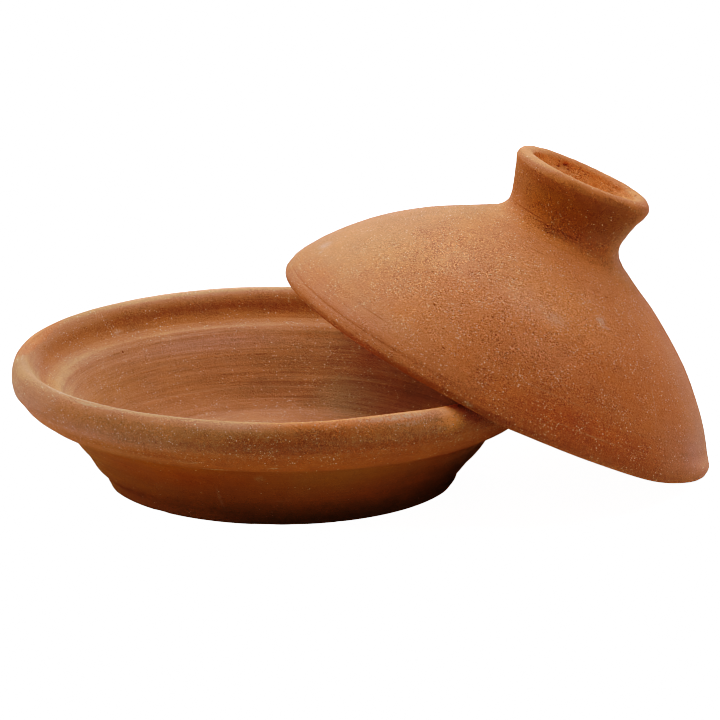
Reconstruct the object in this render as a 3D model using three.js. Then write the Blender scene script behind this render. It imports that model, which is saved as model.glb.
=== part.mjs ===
// Tagine: a wide, shallow earthenware dish with a rolled rim, and its domed lid with a hollow flared neck.
// The dish stands on its flat foot. The lid is off the dish: it leans across the dish's rim, with the low
// side of its own rim on the table. Each of the two is one piece of thrown and fired clay.
// Millimetres, +Z up. The origin is the centre of the dish's foot, on the table. The lid leans towards +X.
import * as THREE from "three";

// ---- driving dimensions ----
const SEGMENTS = 64; // facets round each turned piece

// dish: radius and height above the table
const DISH_RIM_R = 150.6; // widest point of the rolled rim
const DISH_H = 70.4; // crest of the rolled rim
const DISH_FOOT_R = 99.2;
const DISH_STEP = [137.1, 41.7]; // lower edge of the collar under the rim
const DISH_NECK = [132.9, 40.0]; // top of the body wall, just inside the collar's edge
const DISH_SEAT = [132.4, 55.2, 124.4, 52.2]; // ledge the closed lid sits on: outer r, z, inner r, z
const DISH_FLOOR_Z = 9.6; // inside floor, so the bottom is this thick
const DISH_FLOOR_R = 86.0; // where the floor starts to turn up into the wall

// lid: radius and height above its own rim plane
const LID_RIM_R = 131.3;
const LID_WALL = 8.6;
const LID_NECK_R = 34.4; // narrowest point of the neck
const LID_LIP_R = 40.4; // widest point of the flared lip
const LID_H = 123.9;
const LID_MOUTH_R = 31.2;
const LID_CUP_FLOOR_H = 93.0; // floor of the hollow inside the neck
const NECK_START_H = 80.0; // above this height the neck sets off from the lid's axis
const NECK_RUN_H = 40.0;
const NECK_SHIFT = [-2.9, 0.3]; // sideways offset of the lip from the lid's axis
const LIP_SLOPE = [0.032, 0.009]; // rise of the lip per mm of radius, along the lid's own x and y

// how the lid leans
const LID_CENTRE = [119.3, 11.3, 55.75]; // centre of its rim plane
const LID_LEAN = 25.69; // degrees from upright
const LID_BEARING = 6.35; // degrees round from +X

const deg = (d) => (d * Math.PI) / 180;

// Points along a smooth curve through the given [r, z] points, both ends included.
function smooth(points, count) {
  const curve = new THREE.CatmullRomCurve3(
    points.map(([r, z]) => new THREE.Vector3(r, z, 0)),
    false,
    "centripetal",
  );
  return curve.getPoints(count - 1).map((p) => new THREE.Vector2(p.x, p.y));
}

// A closed turned body about +Z. The profile runs from the axis to the axis, outside first, so its faces look out.
function turned(profile) {
  const geometry = new THREE.LatheGeometry(profile, SEGMENTS);
  geometry.rotateX(Math.PI / 2);
  return geometry;
}

// ---- dish ----
const dishProfile = [
  [0, 0],
  [DISH_FOOT_R - 1.5, 0],
  [DISH_FOOT_R, 0.9],
  // body wall, flaring out in a shallow hollow curve
  [102.0, 7.6],
  [109.6, 17.3],
  [120.6, 28.4],
  DISH_NECK,
  // small step out to the collar
  [DISH_STEP[0] - 0.8, DISH_STEP[1] - 0.8],
  DISH_STEP,
  // collar, then the rolled rim
  [144.2, 48.1],
  [149.9, 54.6],
  [DISH_RIM_R - 0.1, 57.2],
  [DISH_RIM_R, 60.8],
  [150.1, 64.4],
  [149.1, 67.4],
  [147.3, 69.6],
  [144.9, DISH_H],
  [142.3, 69.0],
  [139.8, 65.6],
  [137.3, 61.2],
  [134.9, 57.6],
  // seat for the lid
  [DISH_SEAT[0], DISH_SEAT[1]],
  [128.4, 53.6],
  [DISH_SEAT[2], DISH_SEAT[3]],
  [122.2, 50.0],
  // inside wall and floor
  [113.8, 36.2],
  [104.6, 22.8],
  [98.0, 15.2],
  [92.4, 11.0],
  [DISH_FLOOR_R, DISH_FLOOR_Z],
  [0, DISH_FLOOR_Z],
].map(([r, z]) => new THREE.Vector2(r, z));

// ---- lid ----
const lidProfile = [
  new THREE.Vector2(0, LID_CUP_FLOOR_H - 11.4),
  ...smooth(
    [
      [30.0, 79.2],
      [47.0, 71.8],
      [70.6, 57.8],
      [92.4, 41.6],
      [110.0, 22.4],
      [119.6, 6.4],
    ],
    8,
  ),
  new THREE.Vector2(120.4, 2.4),
  new THREE.Vector2(122.8, 0.2),
  new THREE.Vector2(128.2, 0.0),
  new THREE.Vector2(130.5, 1.0),
  new THREE.Vector2(LID_RIM_R, 3.6),
  ...smooth(
    [
      [LID_RIM_R - 2.2, 10.6],
      [118.4, 27.0],
      [98.3, 48.5],
      [74.8, 65.6],
      [51.8, 79.3],
      [41.2, 85.6],
      [35.6, 91.4],
      [LID_NECK_R, 98.1],
      [37.2, 109.6],
      [LID_LIP_R, 118.8],
      [39.4, 122.2],
      [36.6, LID_H],
      [33.4, LID_H - 0.2],
      [LID_MOUTH_R, 122.2],
      [29.2, 113.0],
      [26.6, 101.0],
      [20.0, 94.6],
    ],
    24,
  ),
  new THREE.Vector2(0, LID_CUP_FLOOR_H),
];
// The underside comes first in this profile, so it is turned round to face out.
const lidGeometry = turned(lidProfile);

// The neck stands a little off the lid's axis and its lip is not quite level, as thrown.
{
  const at = lidGeometry.getAttribute("position");
  for (let i = 0; i < at.count; i++) {
    const x = at.getX(i),
      y = at.getY(i),
      z = at.getZ(i);
    let k = Math.min(Math.max((z - NECK_START_H) / NECK_RUN_H, 0), 1.2);
    if (k < 1) k = k * k * (3 - 2 * k);
    at.setXYZ(
      i,
      x + NECK_SHIFT[0] * k,
      y + NECK_SHIFT[1] * k,
      z + (x * LIP_SLOPE[0] + y * LIP_SLOPE[1]) * k,
    );
  }
  at.needsUpdate = true;
  lidGeometry.computeVertexNormals();
}

// ---- the two pieces ----
const tagine = new THREE.Group();

const dish = new THREE.Mesh(
  turned(dishProfile),
  new THREE.MeshStandardMaterial({ color: 0xb06f45, roughness: 0.85, metalness: 0 }),
);
dish.name = "dish";
tagine.add(dish);

const lid = new THREE.Mesh(
  lidGeometry,
  new THREE.MeshStandardMaterial({ color: 0xb97445, roughness: 0.85, metalness: 0 }),
);
lid.name = "lid";
const lean = new THREE.Group();
lean.rotation.y = deg(LID_LEAN);
lean.add(lid);
const bearing = new THREE.Group();
bearing.position.set(...LID_CENTRE);
bearing.rotation.z = deg(LID_BEARING);
bearing.add(lean);
tagine.add(bearing);

export default tagine;
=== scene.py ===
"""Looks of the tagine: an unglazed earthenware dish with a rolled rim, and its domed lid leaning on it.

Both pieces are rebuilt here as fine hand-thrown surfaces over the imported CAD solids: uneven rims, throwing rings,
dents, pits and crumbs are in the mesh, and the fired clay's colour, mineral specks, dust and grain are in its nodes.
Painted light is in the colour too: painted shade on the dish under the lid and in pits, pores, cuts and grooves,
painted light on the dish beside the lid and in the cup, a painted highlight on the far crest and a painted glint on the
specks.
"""

import math

import bpy
import numpy as np
from mathutils import Matrix, Vector


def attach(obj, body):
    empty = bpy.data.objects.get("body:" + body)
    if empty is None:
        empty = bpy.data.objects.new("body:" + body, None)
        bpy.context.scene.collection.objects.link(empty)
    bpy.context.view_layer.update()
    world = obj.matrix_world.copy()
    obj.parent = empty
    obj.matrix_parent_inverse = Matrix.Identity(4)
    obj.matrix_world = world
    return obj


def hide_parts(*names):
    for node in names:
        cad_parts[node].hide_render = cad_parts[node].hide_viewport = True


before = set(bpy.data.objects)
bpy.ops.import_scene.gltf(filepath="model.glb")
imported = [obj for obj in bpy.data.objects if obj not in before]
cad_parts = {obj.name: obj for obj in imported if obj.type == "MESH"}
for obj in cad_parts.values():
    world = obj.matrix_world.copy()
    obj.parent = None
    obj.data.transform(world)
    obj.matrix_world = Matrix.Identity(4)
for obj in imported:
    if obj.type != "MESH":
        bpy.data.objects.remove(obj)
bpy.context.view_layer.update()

MM = 0.001
TAU = 2 * math.pi

# ---------------------------------------------------------------- sizes, in millimetres, as in the CAD part
LID_CENTRE = (119.3, 11.3, 55.75)  # centre of the lid's rim plane
LID_LEAN = 25.69
LID_BEARING = 6.35
NECK_START_H, NECK_RUN_H = 80.0, 40.0
NECK_SHIFT = (-2.9, 0.3)
LIP_SLOPE = (0.032, 0.009)

# A profile is a list of sections. Each section is (name, spacing along it, points), and a curve runs smoothly through
# a section's points; sections meet at a crease or, where the tangents agree, smoothly.
DISH = [
    ("foot", 5.0, [(0, 0), (50, 0), (96.6, 0)]),
    ("foot_edge", 0.55, [(96.6, 0), (98.2, 0.2), (99.1, 0.9), (99.7, 2.3)]),
    ("body", 0.95, [(99.7, 2.3), (102.0, 7.6), (109.6, 17.3), (120.6, 28.4), (132.0, 39.2)]),
    ("step", 0.5, [(132.0, 39.2), (133.2, 40.1), (134.9, 40.4), (136.3, 40.9), (137.3, 41.9)]),
    ("collar", 0.85, [(137.3, 41.9), (140.6, 44.7), (144.2, 48.1), (147.6, 51.9), (149.9, 54.6)]),
    ("roll", 0.62, [(149.9, 54.6), (150.5, 57.2), (150.6, 60.8), (150.1, 64.4), (149.1, 67.4), (147.3, 69.6),
                    (144.9, 70.4), (142.3, 69.0), (139.8, 65.6), (137.3, 61.2), (134.9, 57.6), (132.4, 55.2)]),
    ("seat", 0.7, [(132.4, 55.2), (128.4, 53.6), (124.4, 52.2), (122.2, 50.0)]),
    ("wall", 0.62, [(122.2, 50.0), (113.8, 36.2), (104.6, 22.8), (98.0, 15.2), (92.4, 11.0)]),
    ("floor", 2.1, [(92.4, 11.0), (86.0, 9.6), (60.0, 9.6), (30.0, 9.6), (0, 9.6)]),
]
LID = [
    ("under", 1.9, [(0, 81.6), (30.0, 79.2), (47.0, 71.8), (70.6, 57.8), (92.4, 41.6), (110.0, 22.4), (119.6, 6.4)]),
    ("rim", 0.75, [(119.6, 6.4), (120.4, 2.4), (122.8, 0.3), (126.0, 0.0), (128.6, 0.1), (130.5, 1.1), (131.3, 3.6)]),
    ("dome", 0.92, [(131.3, 3.6), (129.1, 10.6), (118.4, 27.0), (98.3, 48.5), (74.8, 65.6), (51.8, 79.3), (41.2, 85.6)]),
    ("neck", 0.75, [(41.2, 85.6), (35.6, 91.4), (34.4, 98.1), (37.2, 109.6), (40.4, 118.8)]),
    ("lip", 0.7, [(40.4, 118.8), (39.4, 122.2), (36.6, 123.9), (33.4, 123.7), (31.2, 122.2)]),
    ("cup", 1.5, [(31.2, 122.2), (29.2, 113.0), (26.6, 101.0), (20.0, 94.6), (0, 93.0)]),
]
DISH_SEGMENTS, LID_SEGMENTS = 312, 300


# ---------------------------------------------------------------- noise, the same on every run
def _hash(ix, iy, iz, seed):
    h = (ix.astype(np.int64) * 374761393 + iy.astype(np.int64) * 668265263
         + iz.astype(np.int64) * 1274126177 + seed * 2654435761) & 0xFFFFFFFF
    h = (h ^ (h >> 13)) * 1274126177 & 0xFFFFFFFF
    h = (h ^ (h >> 16)) * 2246822519 & 0xFFFFFFFF
    return h ^ (h >> 15)


def noise(p, seed):
    """Gradient noise of the points p, about -1 to 1."""
    i = np.floor(p).astype(np.int64)
    f = p - i
    u = f * f * f * (f * (f * 6 - 15) + 10)
    out = 0
    for dx in (0, 1):
        for dy in (0, 1):
            for dz in (0, 1):
                h = _hash(i[..., 0] + dx, i[..., 1] + dy, i[..., 2] + dz, seed)
                g = [((h >> k) & 1023) / 511.5 - 1 for k in (0, 10, 20)]
                dot = g[0] * (f[..., 0] - dx) + g[1] * (f[..., 1] - dy) + g[2] * (f[..., 2] - dz)
                w = (u[..., 0] if dx else 1 - u[..., 0]) * (u[..., 1] if dy else 1 - u[..., 1])
                out = out + dot * w * (u[..., 2] if dz else 1 - u[..., 2])
    return out * 1.5


def fbm(p, seed, octaves=4, gain=0.5):
    out, a, total = 0, 1.0, 0.0
    for k in range(octaves):
        out = out + a * noise(p * 2.03**k, seed + 17 * k)
        total += a
        a *= gain
    return out / total


def smoothstep(a, b, x):
    t = np.clip((x - a) / (b - a), 0, 1)
    return t * t * (3 - 2 * t)


# ---------------------------------------------------------------- turned surfaces
def curve(points, spacing, last):
    """Points along a centripetal Catmull-Rom curve through the given ones, the end one only for the last section."""
    p = np.array(points, float)
    p = np.vstack([2 * p[0] - p[1], p, 2 * p[-1] - p[-2]])
    dense = []
    for k in range(1, len(p) - 2):
        a, b, c, d = p[k - 1 : k + 3]
        t0 = 0.0
        t1 = t0 + math.dist(a, b) ** 0.5
        t2 = t1 + math.dist(b, c) ** 0.5
        t3 = t2 + math.dist(c, d) ** 0.5
        t = np.linspace(t1, t2, 24, endpoint=k == len(p) - 3)[:, None]
        a1 = (t1 - t) / (t1 - t0) * a + (t - t0) / (t1 - t0) * b
        a2 = (t2 - t) / (t2 - t1) * b + (t - t1) / (t2 - t1) * c
        a3 = (t3 - t) / (t3 - t2) * c + (t - t2) / (t3 - t2) * d
        b1 = (t2 - t) / (t2 - t0) * a1 + (t - t0) / (t2 - t0) * a2
        b2 = (t3 - t) / (t3 - t1) * a2 + (t - t1) / (t3 - t1) * a3
        dense.append((t2 - t) / (t2 - t1) * b1 + (t - t1) / (t2 - t1) * b2)
    dense = np.vstack(dense)
    run = np.concatenate([[0], np.cumsum(np.hypot(*np.diff(dense, axis=0).T))])
    count = max(2, int(round(run[-1] / spacing)) + 1)
    at = np.linspace(0, run[-1], count)
    out = np.stack([np.interp(at, run, dense[:, 0]), np.interp(at, run, dense[:, 1])], 1)
    return out if last else out[:-1]


def profile(sections):
    """r, z, run length s, outward normal and section name for every ring of a turned surface."""
    pts, names = [], []
    for k, (name, spacing, points) in enumerate(sections):
        c = curve(points, spacing, k == len(sections) - 1)
        pts.append(c)
        names += [name] * len(c)
    pts = np.vstack(pts)
    s = np.concatenate([[0], np.cumsum(np.hypot(*np.diff(pts, axis=0).T))])
    t = np.gradient(pts, s, axis=0)
    t /= np.maximum(np.hypot(t[:, 0], t[:, 1]), 1e-9)[:, None]
    return pts[:, 0], pts[:, 1], s, np.stack([t[:, 1], -t[:, 0]], 1), np.array(names)


def turned(name, sections, segments, shape, place):
    """A closed turned mesh. shape(g) gives the displaced (x, y, z) in mm and the clay's gain; place puts it in the row frame."""
    r, z, s, n, names = profile(sections)
    theta = np.arange(segments) * TAU / segments
    R, T = np.meshgrid(r[1:-1], theta, indexing="ij")
    Z, S = np.meshgrid(z[1:-1], theta, indexing="ij")[0], np.meshgrid(s[1:-1], theta, indexing="ij")[0]
    g = {"r": R, "z": Z, "s": S, "t": T, "c": np.cos(T), "n": np.sin(T), "nr": n[1:-1, :1] + 0 * T, "nz": n[1:-1, 1:] + 0 * T,
         "name": names[1:-1], "rows": r.size - 2}
    xyz, gain = shape(g)
    rows = r.size - 2
    v = xyz.reshape(-1, 3)
    poles = np.array([[0, 0, z[0]], [0, 0, z[-1]]], float)
    poles[0, 2] = v[:segments, 2].mean()
    poles[1, 2] = v[-segments:, 2].mean()
    poles[0, :2] = v[:segments, :2].mean(0)
    poles[1, :2] = v[-segments:, :2].mean(0)
    v = np.vstack([v, poles]) * MM
    j = np.arange(segments)
    jn = (j + 1) % segments
    i = np.arange(rows - 1)[:, None] * segments
    quads = np.stack([i + j, i + jn, i + segments + jn, i + segments + j], -1).reshape(-1, 4)
    first = np.stack([np.full(segments, rows * segments), jn, j], -1)
    last = np.stack([np.full(segments, rows * segments + 1), (rows - 1) * segments + j, (rows - 1) * segments + jn], -1)
    mesh = bpy.data.meshes.new(name)
    mesh.vertices.add(len(v))
    mesh.vertices.foreach_set("co", v.astype(np.float32).ravel())
    loops = np.concatenate([quads.ravel(), first.ravel(), last.ravel()]).astype(np.int32)
    starts = np.concatenate([np.arange(len(quads)) * 4, len(quads) * 4 + np.arange(2 * segments) * 3]).astype(np.int32)
    mesh.loops.add(len(loops))
    mesh.loops.foreach_set("vertex_index", loops)
    mesh.polygons.add(len(starts))
    mesh.polygons.foreach_set("loop_start", starts)
    mesh.polygons.foreach_set("use_smooth", np.ones(len(starts), bool))
    mesh.update(calc_edges=True)
    mesh.validate()
    base = np.stack([R * g["c"], R * g["n"], Z], -1).reshape(-1, 3)
    base = np.vstack([base, [[0, 0, z[0]], [0, 0, z[-1]]]]) * MM
    ring = np.stack([g["c"], g["n"], S * MM], -1).reshape(-1, 3)
    ring = np.vstack([ring, [[0, 0, s[0] * MM], [0, 0, s[-1] * MM]]])
    tint = gain.reshape(-1, 3)
    tint = np.vstack([tint, tint[:segments].mean(0), tint[-segments:].mean(0)])
    for key, data in (("loc", base), ("ring", ring), ("tint", tint)):
        mesh.attributes.new(key, "FLOAT_VECTOR", "POINT").data.foreach_set("vector", data.astype(np.float32).ravel())
    obj = bpy.data.objects.new(name, mesh)
    bpy.context.scene.collection.objects.link(obj)
    obj.data.transform(place)
    return obj


def polar(g, around, along, seed, octaves=1):
    """Noise on the turned surface that closes on itself: features are about around mm long and along mm wide."""
    p = np.stack([g["c"] * g["r"] / around, g["n"] * g["r"] / around, g["s"] / along], -1)
    return fbm(p, seed, octaves) if octaves > 1 else noise(p, seed)


def solid_noise(g, size, seed, octaves=3):
    p = np.stack([g["r"] * g["c"], g["r"] * g["n"], g["z"]], -1) / size
    return fbm(p, seed, octaves)


def section_mask(g, *names):
    return np.isin(g["name"], names).astype(float)[:, None] + 0 * g["t"]


def soft_mask(g, *names, width=4):
    """1 in the named sections, fading over a few rings at their ends."""
    m = np.isin(g["name"], names).astype(float)
    k = np.ones(2 * width + 1) / (2 * width + 1)
    return np.convolve(np.pad(m, width, mode="edge"), k, "valid")[:, None] + 0 * g["t"]


def dents(g, spots):
    """Sum of round-bottomed dents and crumbs: (bearing deg, run length mm, half length mm, half width mm, height mm)."""
    out = np.zeros_like(g["t"])
    for bearing, at, length, width, height in spots:
        ds = g["s"] - at
        da = ((g["t"] - math.radians(bearing) + math.pi) % TAU - math.pi) * g["r"]
        near = (np.abs(ds) < 4 * width) & (np.abs(da) < 4 * length)
        out[near] += height * np.exp(-((da[near] / length) ** 2) - (ds[near] / width) ** 2)
    return out


def tinted(g, tints, seed):
    """The clay's gain in red, green and blue at each vertex."""
    gain = np.ones((*g["t"].shape, 3))
    waver = solid_noise(g, 14, seed, 2) * 0.22
    for (bearing, at, radius, across, along), rgb in tints:
        b = math.radians(bearing)
        chord = np.hypot(g["c"] - math.cos(b), g["n"] - math.sin(b)) * radius / across
        mask = smoothstep(1.8, 0.2, np.hypot(chord, (g["s"] - at) / along) + waver)
        gain *= 1 + mask[..., None] * (np.array(rgb) - 1)
    return gain


def eased(s, stops, soft=1.6):
    """A rounded line through [(run length mm, height mm), ...]."""
    grid = np.arange(-10.0, 420.0, 0.25)
    tap = np.exp(-((np.arange(-24, 25) * 0.25 / soft) ** 2))
    return np.interp(s, grid, np.convolve(np.interp(grid, *zip(*stops)), tap / tap.sum(), "same"))


def groove(g, at, width, depth, start, end, wander=0.0, seed=0):
    """A line cut round the piece at one run length, between two bearings, fading out at both ends."""
    t = (np.degrees(g["t"]) - start) % 360
    span = (end - start) % 360
    along = smoothstep(0, 12, t) * smoothstep(span, span - 12, t) if span else np.ones_like(t)
    if wander:
        at = at + wander * polar(g, 25, 400, seed)
    return -depth * along * np.exp(-(((g["s"] - at) / width) ** 2))


# ---------------------------------------------------------------- the dish
# slow unevenness of the hand-thrown form: (bearing, run length, half length, half width, height) in mm
DISH_FORM = [
    (-158, 173, 50, 9, 0.50), (-153, 111, 45, 5, 1.00), (-153, 122, 45, 6, -0.75), (-31, 148, 45, 6, -0.30),
    (-28, 116, 40, 4, -0.40), (-30, 107, 45, 3.5, 0.20), (104, 193, 60, 9, 0.80), (-120, 195, 90, 7, 0.45), (-66, 195, 34, 7, 1.50), (-46, 186, 9, 6, 0.55),
]
# the body swells above the foot and draws in under the collar, whose lower edge stands out as a soft ledge
DISH_LINE = [(95, 0.0), (98, 0.0), (103, -0.3), (106, 0.05), (109, 0.35), (112, 0.6), (117, 0.75), (121, 0.7), (125, 0.35), (128.5, -0.25), (131, -0.9),
             (134, -1.45), (137, -1.6), (141, -1.65), (147, -1.65), (152.6, -1.65), (155.4, 0.0), (160, 0.0)]
DISH_CRUMBS = [
    (-103, 157.4, 6.0, 0.9, 0.35), (-90, 162.0, 3.5, 0.9, 0.35), (-110, 164.5, 3.5, 1.2, 0.25), (-75, 160.5, 5.0, 0.9, 0.25),
    (-64, 190.5, 5.0, 1.2, -0.35), (-60, 187.5, 4.0, 1.0, -0.30), (-141, 193.5, 6.0, 1.2, -0.28), (-133, 190.5, 5.0, 1.0, -0.22),
    (137, 211.0, 3.5, 1.6, 0.35), (-163, 203.0, 3.5, 1.0, -0.50), (35, 182.0, 4.0, 1.5, -0.30), (72, 192.0, 4.0, 1.2, -0.35),
    (12, 160.0, 5.0, 1.0, 0.30), (-20, 176.0, 4.0, 1.3, -0.30), (120, 162.0, 4.0, 0.9, 0.30), (158, 178.0, 5.0, 1.4, -0.28),
]


# changes of colour, slow and local, with painted shade and painted light near the lid among them (marked below):
# ((bearing, run length, radius there, half size round, half size along), gain in red, green and blue)
DISH_TINTS = [
    # (112, 194): pale far crest, partly pale dust and partly a painted highlight along the lit crest
    ((112, 194, 146, 56, 4.5), (1.38, 1.62, 1.90)), ((155, 199, 141, 120, 3.2), (1.05, 1.13, 1.18)),
    ((-158, 205, 137, 54, 4.0), (1.10, 1.20, 1.32)), ((67, 205, 137, 52, 5.0), (0.82, 0.78, 0.52)),
    ((67, 232, 118, 46, 16.0), (0.91, 0.93, 0.97)), ((155, 236, 114, 50, 30.0), (0.94, 0.97, 0.95)),
    # (25, 264): painted light, lifting the shaded inside wall under the lid
    ((25, 264, 98, 22, 8.0), (1.36, 1.54, 1.44)), ((-157, 169, 146, 60, 10.0), (1.09, 1.18, 1.46)),
    ((-112, 168, 146, 56, 10.0), (1.02, 1.04, 1.14)), ((-157, 150, 133, 44, 6.0), (1.05, 1.02, 1.22)),
    ((-112, 142, 126, 46, 13.0), (1.06, 1.03, 0.84)), ((-67, 140, 126, 44, 12.0), (0.98, 1.13, 1.10)),
    ((-28, 134, 122, 50, 22.0), (0.82, 0.86, 0.80)), ((-22, 160, 138, 48, 5.0), (0.92, 1.10, 0.96)),
    # (-22, 180): painted shade on the roll under the lid
    ((-22, 180, 150, 52, 5.0), (0.87, 0.95, 0.78)), ((-146, 193.5, 145, 62, 3.0), (0.90, 0.88, 0.97)),
    ((-112, 188, 149, 50, 5.0), (1.05, 1.10, 1.13)), ((-66, 185, 149, 36, 3.5), (1.00, 0.87, 0.71)),
    ((-100, 188.5, 148, 30, 2.0), (1.06, 1.06, 1.08)), ((-66, 176, 150, 36, 3.0), (1.02, 0.94, 0.84)),
    ((-158, 210, 134, 54, 6.0), (1.04, 1.09, 1.17)), ((-157, 138, 124, 50, 8.0), (1.00, 1.00, 1.20)),
    ((-112, 150, 133, 48, 5.0), (1.00, 1.00, 0.80)), ((-24, 171, 146, 50, 9.0), (0.90, 0.98, 0.85)),
    # (24, 248): painted shade on the inside wall under the lid
    ((-24, 112, 106, 46, 14.0), (1.00, 0.91, 0.82)), ((24, 248, 108, 38, 10.0), (0.78, 0.86, 0.80)),
    # (43, 258): painted shade on the inside wall under the lid
    ((43, 258, 103, 28, 7.0), (0.77, 0.80, 0.75)), ((-174, 193, 146, 22, 6.0), (0.87, 0.83, 0.82)),
    ((-125, 175, 148, 40, 5.0), (1.05, 1.20, 1.55)), ((68, 262, 101, 16, 12.0), (1.10, 1.32, 1.50)),
    ((-58, 187, 149, 26, 6.0), (1.06, 1.16, 1.40)), ((91, 262, 101, 18, 9.0), (0.86, 0.84, 0.88)),
    ((162, 240, 113, 34, 14.0), (0.94, 0.89, 0.77)), ((113, 230, 120, 40, 5.0), (1.05, 1.15, 1.38)),
    ((-79, 189, 148, 26, 4.0), (0.97, 0.85, 0.72)), ((78, 223, 124, 24, 4.0), (0.88, 0.83, 0.77)),
    # (50, 247): painted shade on the inside wall under the lid
    ((50, 247, 108, 22, 8.0), (0.88, 0.93, 0.82)), ((-124, 130, 116, 40, 10.0), (0.96, 0.90, 0.88)),
    # (-47.5, 188.5) here and the two on the next line: painted contact shadow on the roll along the lid's edge
    ((-123, 162, 141, 30, 4.0), (1.03, 1.12, 1.28)), ((-47.5, 188.5, 148, 5, 3.0), (0.66, 0.58, 0.52)),
    ((-45.5, 184.5, 149, 6, 3.0), (0.72, 0.63, 0.62)), ((-44, 181.5, 150, 5, 2.5), (0.80, 0.72, 0.68)),
    # (-51, 186.5): painted light on the roll beside the lid's edge; (24, 251): painted shade on the inside wall under
    # the lid's rim
    ((-51, 186.5, 149, 7, 6.0), (1.60, 1.55, 1.30)), ((24, 251, 106, 11, 4.0), (0.62, 0.60, 0.48)),
    ((-74, 189, 148, 16, 3.0), (1.03, 1.10, 1.30)), ((90, 125, 115, 88, 34.0), (1.00, 0.90, 1.15)),
    ((-66, 194, 145, 44, 2.5), (1.00, 0.93, 0.88)), ((110, 209, 133, 24, 4.0), (1.14, 1.20, 1.20)),
    ((88, 241, 113, 20, 8.0), (0.89, 0.85, 0.82)), ((-90, 182, 150, 24, 3.5), (0.90, 0.82, 0.70)),
    ((-99, 189, 148, 20, 3.0), (1.04, 1.14, 1.26)), ((-29, 136, 124, 22, 7.0), (1.28, 1.45, 2.00)),
]


def dish_shape(g):
    c, n, r, z, t = g["c"], g["n"], g["r"], g["z"], g["t"]
    wall = soft_mask(g, "wall")
    outer = soft_mask(g, "body", "collar", "step")
    roll = soft_mask(g, "roll")
    seat = soft_mask(g, "seat")
    floor = soft_mask(g, "floor")
    d = 0.0
    # throwing rings: long and narrow, strongest on the inside wall
    rings = polar(g, 70, 2.1, 11) * 0.55 + polar(g, 38, 1.1, 12) * 0.30 + polar(g, 95, 5.0, 13) * 0.6
    d = d + rings * (0.20 * wall + 0.10 * floor + 0.075 * outer + 0.05 * roll + 0.06 * seat)
    # wiped clay: soft lumps
    d = d + solid_noise(g, 22, 21) * (0.22 * wall + 0.20 * outer + 0.17 * roll + 0.12 * seat + 0.12 * floor)
    d = d + solid_noise(g, 6, 22) * (0.05 + 0.02 * roll + 0.02 * seat)
    # sandy skin
    d = d + solid_noise(g, 2.2, 23, 2) * 0.045
    # the sandy belt under the crest, crumbs on the step, nicks in the foot's edge and a soft crease in the collar
    belt = smoothstep(172, 177, g["s"]) * smoothstep(190, 184, g["s"])
    d = d + belt * solid_noise(g, 1.9, 24, 2) * 0.07
    d = d + dents(g, DISH_CRUMBS) + dents(g, DISH_FORM)
    d = d + groove(g, 168.5, 2.2, 0.18, 0, 0) + groove(g, 222.5, 0.9, 0.18, 60, 200, 0.5, 25)
    d = d + eased(g["s"], DISH_LINE, 1.0)
    d = d + 0.22 * np.exp(-(((g["s"] - 157.2) / 1.9) ** 2))
    d = d + 0.90 * np.exp(-(((g["s"] - 164.0) / 5.6) ** 2))
    foot = soft_mask(g, "foot", "foot_edge")
    d = d * (1 - 0.85 * foot)
    # the foot is a little flattened at both sides, worn at its edge, and the body runs straight down to it
    turn = np.abs((np.degrees(t) + 270) % 360 - 180)
    d = d + soft_mask(g, "foot_edge") * (0.6 - (1.05 - 0.3 * c) * smoothstep(66, 76, turn) - 0.4 * smoothstep(0.25, 0.7, polar(g, 9, 60, 26)))
    d = d - (0.2 + 0.4 * smoothstep(40, 66, turn)) * np.exp(-(((g["s"] - 103.0) / 2.6) ** 2))
    rr = r + g["nr"] * d
    zz = z + g["nz"] * d
    # the rim isn't quite round or level
    lift = smoothstep(30, 70, z)
    rr = rr + lift * (0.30 * np.cos(2 * t + 0.7) + 0.18 * np.cos(3 * t + 2.0) + 0.10 * np.cos(5 * t)) * smoothstep(100, 130, r)
    zz = zz + lift * (0.20 * np.cos(2 * t + 1.9) + 0.12 * np.cos(3 * t + 0.4))
    zz = np.maximum(zz, 0.0)
    return np.stack([rr * c, rr * n, zz], -1), tinted(g, DISH_TINTS, 61)


# ---------------------------------------------------------------- the lid
def neck_set(x, y, z):
    k = np.clip((z - NECK_START_H) / NECK_RUN_H, 0, 1.2)
    k = np.where(k < 1, k * k * (3 - 2 * k), k)
    return x + NECK_SHIFT[0] * k, y + NECK_SHIFT[1] * k, z + (x * LIP_SLOPE[0] + y * LIP_SLOPE[1]) * k


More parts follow.
